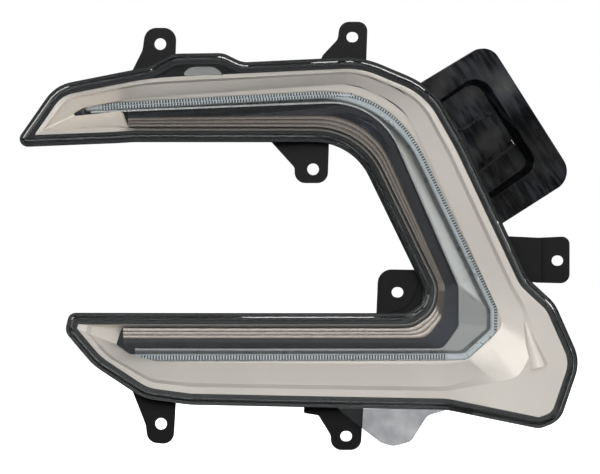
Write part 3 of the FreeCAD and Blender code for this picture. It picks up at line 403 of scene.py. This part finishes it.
# points along the guide's line between two places, each place a side and the share of that side
def guideStretch(start, end, offset):
    corners = [Vector(corner[:2]) for corner in guidePath["corners"]]
    radii = [corner[2] for corner in guidePath["corners"]]
    points = []
    for side in range(start[0], end[0] + 1):
        along = (corners[side + 1] - corners[side]).normalized()
        across = Vector((-along.y, along.x))
        first = start[1] if side == start[0] else 0.0
        last = end[1] if side == end[0] else 1.0
        ends = [corners[side].lerp(corners[side + 1], share) + across * offset for share in (first, last)]
        if side > start[0]:
            ends[0] += along * cornerTangent(corners, radii, side)
        if side < end[0]:
            ends[1] -= along * cornerTangent(corners, radii, side + 1)
        if points:
            points += arcBetween(points[-1], lastAlong, ends[0], along)
        steps = max(1, round((ends[1] - ends[0]).length / guidePath["stride"]))
        points += [ends[0].lerp(ends[1], step / steps) for step in range(steps + 1)]
        lastAlong = along
    return points


# a solid strip along the guide: its section's corners are pairs of offset and depth in mm
def stripAlong(name, start, end, section):
    rails = [layOnFront(guideStretch(start, end, offset), depth) for offset, depth in section]
    count, sides = len(rails[0]), len(rails)
    faces = []
    for a in range(sides):
        b = (a + 1) % sides
        faces += [(a * count + i, a * count + i + 1, b * count + i + 1, b * count + i)
                  for i in range(count - 1)]
    faces.append(tuple(a * count for a in range(sides)))
    faces.append(tuple(a * count + count - 1 for a in reversed(range(sides))))
    mesh = bpy.data.meshes.new(name)
    mesh.from_pydata([point for rail in rails for point in rail], [], faces)
    form = bmesh.new()
    form.from_mesh(mesh)
    bmesh.ops.recalc_face_normals(form, faces=form.faces)
    form.to_mesh(mesh)
    form.free()
    return addObject(name, mesh)


# prism ribs moulded on the front of the guide: frosted acrylic that glints softly, over a bed painted dark as
# the painted shade of the rod behind it; sizes in mm, and the frost is drawn coarser than it is
ribLook = {"pitch": 1.85, "radius": 0.46, "sides": 10, "flatFacing": 0.99, "tint": "#f2f5f7", "ior": 1.49,
           "clearness": 0.15, "frost": 1.11, "roughness": (0.06, 0.14)}
bedLook = {"thickness": 0.35, "base": "#33383d", "pale": "#454c52", "paleSpan": (0.3, 0.8), "haze": 2.0,
           "roughness": 0.3}
# rows of ribs by their offset from the guide's centre line, in mm, and the places they run between
ribRows = {
    "upper_outer_ribs": {"offset": 1.15, "from": (0, 0.05), "to": (2, 1.0), "length": 1.9},
    "upper_inner_ribs": {"offset": -1.15, "from": (0, 0.05), "to": (0, 0.88), "length": 1.9},
    "lower_ribs": {"offset": 0.0, "from": (4, 0.06), "to": (4, 0.97), "length": 3.2},
}


def makeRibAcrylic():
    material, tree, shader, coords = newMaterial("frosted acrylic", ribLook["tint"], ior=ribLook["ior"])
    shader.inputs["Transmission Weight"].default_value = ribLook["clearness"]
    frost = addNode(tree, "ShaderNodeTexNoise", {"Vector": coords, "Scale": perMetre(ribLook["frost"]),
                                                 "Detail": 2})
    driftGloss(tree, shader, frost.outputs["Fac"], ribLook["roughness"])
    return material


# the bed under the ribs: painted shade, a dark acrylic colour with a random paler haze
def makePaintedShadeBed():
    material, tree, shader, coords = newMaterial("shaded acrylic", bedLook["base"],
                                                 roughness=bedLook["roughness"], ior=ribLook["ior"])
    haze = addNode(tree, "ShaderNodeTexNoise", {"Vector": coords, "Scale": perMetre(bedLook["haze"]),
                                                "Detail": 2})
    colour = toneBetween(tree, haze.outputs["Fac"], bedLook["paleSpan"], bedLook["base"], bedLook["pale"])
    tree.links.new(colour, shader.inputs["Base Color"])
    return material


# lays a rod across a line at every pitch, turned to face the front
def makeRibTree(material):
    tree = bpy.data.node_groups.new("ribsAlongLine", "GeometryNodeTree")
    tree.interface.new_socket("Line", in_out="INPUT", socket_type="NodeSocketGeometry")
    for name in ("Pitch", "Rib Radius", "Rib Length"):
        tree.interface.new_socket(name, in_out="INPUT", socket_type="NodeSocketFloat")
    tree.interface.new_socket("Ribs", in_out="OUTPUT", socket_type="NodeSocketGeometry")
    given = addNode(tree, "NodeGroupInput")
    curve = addNode(tree, "GeometryNodeMeshToCurve", {"Mesh": given.outputs["Line"]})
    spaced = addNode(tree, "GeometryNodeResampleCurve", {"Curve": curve.outputs["Curve"],
                                                         "Length": given.outputs["Pitch"]}, mode="LENGTH")
    tangent = addNode(tree, "GeometryNodeInputTangent")
    facing = addNode(tree, "FunctionNodeAlignRotationToVector", {"Vector": tangent.outputs["Tangent"]},
                     axis="X")
    turned = addNode(tree, "FunctionNodeAlignRotationToVector",
                     {"Rotation": facing.outputs["Rotation"], "Vector": (0.0, -1.0, 0.0)},
                     axis="Z", pivot_axis="X")
    rod = addNode(tree, "GeometryNodeMeshCylinder", {"Vertices": ribLook["sides"],
                                                     "Radius": given.outputs["Rib Radius"],
                                                     "Depth": given.outputs["Rib Length"]})
    laid = addNode(tree, "GeometryNodeTransform", {"Geometry": rod.outputs["Mesh"],
                                                   "Rotation": (math.radians(90), 0.0, 0.0)})
    placed = addNode(tree, "GeometryNodeInstanceOnPoints", {"Points": spaced.outputs["Curve"],
                                                            "Instance": laid.outputs["Geometry"],
                                                            "Rotation": turned.outputs["Rotation"]})
    real = addNode(tree, "GeometryNodeRealizeInstances", {"Geometry": placed.outputs["Instances"]})
    dressed = addNode(tree, "GeometryNodeSetMaterial", {"Geometry": real.outputs["Geometry"],
                                                        "Material": material})
    addNode(tree, "NodeGroupOutput", {"Ribs": dressed.outputs["Geometry"]})
    return tree


# evaluates a nodes modifier on a line of points and leaves one plain mesh object
def growAlong(name, points, tree, values):
    line = bpy.data.meshes.new(name + "_line")
    line.from_pydata(points, [(i, i + 1) for i in range(len(points) - 1)], [])
    source = addObject(name + "_source", line)
    modifier = source.modifiers.new("grow", "NODES")
    modifier.node_group = tree
    for item in tree.interface.items_tree:
        if item.in_out == "INPUT" and item.name in values:
            modifier[item.identifier] = values[item.name]
    graph = bpy.context.evaluated_depsgraph_get()
    mesh = bpy.data.meshes.new_from_object(source.evaluated_get(graph), depsgraph=graph)
    bpy.data.objects.remove(source)
    return addObject(name, mesh)


def makeRibs():
    ribMaterial = makeRibAcrylic()
    bedMaterial = makePaintedShadeBed()
    tree = makeRibTree(ribMaterial)
    top = guidePath["faceDepth"]
    bottom = top + bedLook["thickness"]
    for name, row in ribRows.items():
        low = row["offset"] - 0.5 * row["length"]
        high = row["offset"] + 0.5 * row["length"]
        section = [(low, top), (high, top), (high, bottom), (low, bottom)]
        bed = stripAlong(name + "_bed", row["from"], row["to"], section)
        bed.data.materials.append(bedMaterial)
        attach(bed, "root")
        points = layOnFront(guideStretch(row["from"], row["to"], row["offset"]), top)
        values = {"Pitch": ribLook["pitch"] * mm, "Rib Radius": ribLook["radius"] * mm,
                  "Rib Length": row["length"] * mm}
        piece = growAlong(name, points, tree, values)
        for polygon in piece.data.polygons:  # ends, and sides that face the front squarely, stay flat
            polygon.use_smooth = abs(polygon.normal.y) < ribLook["flatFacing"] and len(polygon.vertices) == 4
        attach(piece, "root")
        print(name, len(piece.data.polygons), "faces")


makeRibs()


# silver flank that closes the gap between the window's outer edge and the guide: pairs of offset and
# depth in mm
flankLook = {"name": "guide_flank", "from": (0, 0.03), "to": (4, 0.97), "inner": (2.3, 20.6),
             "outer": (8.0, 18.75), "thickness": 0.8}


def makeFlank():
    corners = [flankLook["inner"], flankLook["outer"]]
    corners += [(offset, depth + flankLook["thickness"]) for offset, depth in reversed(corners)]
    flank = stripAlong(flankLook["name"], flankLook["from"], flankLook["to"], corners)
    flank.data.materials.append(nodes["outer_bezel"].data.materials[0])
    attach(flank, "root")


makeFlank()
print("ribs and flank made")


# narrow slot in the bezel at the bend, a dark sheet on the bezel whose painted shade shows the slot's inside:
# places on the front, width at the middle, lift off the bezel and where the search for the bezel starts, in
# mm;
# blunt widens the slot's two ends
slotLook = {"places": ((36.7, 59.3), (43.4, 57.5), (49.7, 55.0), (55.2, 51.9), (59.9, 48.3)), "width": 0.9,
            "blunt": 0.25, "lift": 0.06, "searchFrom": -100.0, "colour": "#101010", "pale": "#1b1a19",
            "paleSpan": (0.3, 0.8), "dust": 1.67, "roughness": 0.6}


# painted shade for the slot's dark inside, with random paler dust
def makePaintedSlotShade():
    material, tree, shader, coords = newMaterial("shaded slot", slotLook["colour"],
                                                 roughness=slotLook["roughness"])
    dust = addNode(tree, "ShaderNodeTexNoise", {"Vector": coords, "Scale": perMetre(slotLook["dust"]),
                                                "Detail": 2})
    colour = toneBetween(tree, dust.outputs["Fac"], slotLook["paleSpan"], slotLook["colour"],
                         slotLook["pale"])
    tree.links.new(colour, shader.inputs["Base Color"])
    return material


def makePaintedBendSlot():
    bezel = BVHTree.FromObject(nodes["outer_bezel"], bpy.context.evaluated_depsgraph_get())
    places = [Vector(place) for place in slotLook["places"]]
    blunt = slotLook["blunt"]
    corners = []
    for index, place in enumerate(places):
        along = places[min(index + 1, len(places) - 1)] - places[max(index - 1, 0)]
        across = Vector((-along.y, along.x)).normalized()
        taper = math.sin(math.pi * (index + blunt) / (len(places) - 1 + 2 * blunt))
        for side in (-0.5, 0.5):
            spot = place + across * side * slotLook["width"] * taper
            start = Vector((spot.x * mm, slotLook["searchFrom"] * mm, spot.y * mm))
            hit = bezel.ray_cast(start, Vector((0, 1, 0)))[0]
            corners.append((hit.x, hit.y - slotLook["lift"] * mm, hit.z))
    faces = [(2 * i, 2 * i + 1, 2 * i + 3, 2 * i + 2) for i in range(len(places) - 1)]
    mesh = bpy.data.meshes.new("bend_slot_painted_shade")
    mesh.from_pydata(corners, [], faces)
    slot = addObject("bend_slot_painted_shade", mesh)
    mesh.materials.append(makePaintedSlotShade())
    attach(slot, "root")


makePaintedBendSlot()
print("slot made")


# camera on the photograph's line of sight, straight at the front, far off with a long lens
# aim, sensor and the width it takes in are in mm, distance and reach in metres
cameraView = {"aim": (-8.5, 0.0, -44.0), "distance": 4.0, "width": 390.0, "sensor": 36, "reach": 100}


def makeCamera():
    data = bpy.data.cameras.new("camera")
    camera = addObject("camera", data)
    x, y, z = (v * mm for v in cameraView["aim"])
    camera.location = (x, y - cameraView["distance"], z)
    camera.rotation_euler = (math.radians(90), 0, 0)
    data.sensor_width = cameraView["sensor"]
    data.lens = cameraView["sensor"] * cameraView["distance"] / (cameraView["width"] * mm)
    data.clip_end = cameraView["reach"]
    bpy.context.scene.camera = camera


# soft boxes seen from the lamp: azimuth and elevation in degrees, distance, width, height, radiance
# a dark gap stays level with the lamp, so that the lens front mirrors no light into the camera
softBoxes = {
    "frontCard": (4, 20, 2.2, 2.6, 1.0, 2.2),
    "leftCard": (-58, 18, 2.2, 1.6, 1.0, 1.1),
    "rightCard": (66, 18, 2.2, 1.2, 1.0, 1.3),
    "topCard": (20, 78, 1.8, 0.9, 0.6, 0.4),
    "backCard": (150, 32, 2.4, 1.8, 1.6, 4.0),
    "backLeftCard": (-140, 28, 2.4, 1.4, 1.4, 3.0),
    "flash": (-4, 8, 2.4, 0.09, 0.09, 14.0),
}


def makeLights():
    aim = Vector(cameraView["aim"]) * mm
    for name, (azimuth, elevation, distance, width, height, radiance) in softBoxes.items():
        data = bpy.data.lights.new(name, "AREA")
        data.shape = "RECTANGLE"
        data.size = width
        data.size_y = height
        data.energy = radiance * math.pi * width * height
        light = addObject(name, data)
        level = math.cos(math.radians(elevation))
        towards = Vector((level * math.sin(math.radians(azimuth)), -level * math.cos(math.radians(azimuth)),
                          math.sin(math.radians(elevation))))
        light.location = aim + towards * distance
        light.rotation_euler = towards.to_track_quat("Z", "Y").to_euler()


# one level straight to the camera, another through clear plastic, none for the rest
def seenLevel(tree, straight, through):
    path = addNode(tree, "ShaderNodeLightPath")
    first = addNode(tree, "ShaderNodeMath", {0: path.outputs["Is Camera Ray"], 1: straight},
                    operation="MULTIPLY")
    second = addNode(tree, "ShaderNodeMath", {0: path.outputs["Is Transmission Ray"], 1: through},
                     operation="MULTIPLY")
    level = addNode(tree, "ShaderNodeMath", {0: first.outputs["Value"], 1: second.outputs["Value"]},
                    operation="MAXIMUM")
    return level.outputs["Value"]


# the room lights the lamp at a low level, is grey through clear plastic and white to the camera
roomLook = {"colour": "#d5d8dd", "level": 0.14, "seen": "#ffffff", "straight": 1.0, "through": 0.3}


def makeWorld():
    world = bpy.data.worlds.new("studio")
    bpy.context.scene.world = world
    world.use_nodes = True
    tree = world.node_tree
    room = tree.nodes["Background"]
    room.inputs["Color"].default_value = toLinear(roomLook["colour"])
    room.inputs["Strength"].default_value = roomLook["level"]
    level = seenLevel(tree, roomLook["straight"], roomLook["through"])
    seen = addNode(tree, "ShaderNodeBackground", {"Color": toLinear(roomLook["seen"]), "Strength": level})
    path = addNode(tree, "ShaderNodeLightPath")
    either = addNode(tree, "ShaderNodeMath", {0: path.outputs["Is Camera Ray"],
                                              1: path.outputs["Is Transmission Ray"]}, operation="MAXIMUM")
    mix = addNode(tree, "ShaderNodeMixShader", {0: either.outputs["Value"], 1: room.outputs["Background"],
                                                2: seen.outputs["Background"]})
    tree.links.new(mix.outputs["Shader"], tree.nodes["World Output"].inputs["Surface"])


# pale paper just under the lowest ear: it glows for the camera, near to far over a fade in metres,
# and less through clear plastic; mirrors see a dark paper; its fibres, in mm, are drawn coarser than real
floorLook = {"half": 12.0, "base": "#f4f4f2", "mirrored": "#3c3c3b", "roughness": 0.9, "glow": "#ffffff",
             "near": 0.84, "far": 1.0, "fadeStart": 0.4, "fadeEnd": 2.0, "through": 0.78, "fibre": 1.11,
             "relief": 0.03, "reliefHeight": 0.05}


def makeFloor():
    half, z = floorLook["half"], cadBox[0][2]
    corners = [(-half, -half, z), (half, -half, z), (half, half, z), (-half, half, z)]
    mesh = bpy.data.meshes.new("floor")
    mesh.from_pydata(corners, [], [(0, 1, 2, 3)])
    floor = addObject("floor", mesh)
    material, tree, shader, coords = newMaterial("white paper", floorLook["base"],
                                                 roughness=floorLook["roughness"])
    fibre = addNode(tree, "ShaderNodeTexNoise", {"Vector": coords, "Scale": perMetre(floorLook["fibre"]),
                                                 "Detail": 2})
    raiseRelief(tree, shader, fibre.outputs["Fac"], floorLook["relief"], floorLook["reliefHeight"])
    path = addNode(tree, "ShaderNodeLightPath")
    paintWhere(tree, shader, path.outputs["Is Glossy Ray"], toLinear(floorLook["base"]),
               toLinear(floorLook["mirrored"]))
    spot = addNode(tree, "ShaderNodeVectorMath", {0: coords}, operation="LENGTH")
    fade = addNode(tree, "ShaderNodeMapRange", {"Value": spot.outputs["Value"],
                                                "From Min": floorLook["fadeStart"],
                                                "From Max": floorLook["fadeEnd"],
                                                "To Min": floorLook["near"], "To Max": floorLook["far"]})
    level = seenLevel(tree, fade.outputs["Result"], floorLook["through"])
    light = addNode(tree, "ShaderNodeEmission", {"Color": toLinear(floorLook["glow"]), "Strength": level})
    both = addNode(tree, "ShaderNodeAddShader", {0: shader.outputs["BSDF"], 1: light.outputs["Emission"]})
    tree.links.new(both.outputs["Shader"], tree.nodes["Material Output"].inputs["Surface"])
    mesh.materials.append(material)


makeCamera()
makeLights()
makeWorld()
makeFloor()
bpy.context.scene.view_settings.view_transform = "Standard"
print("camera, lights and floor made")
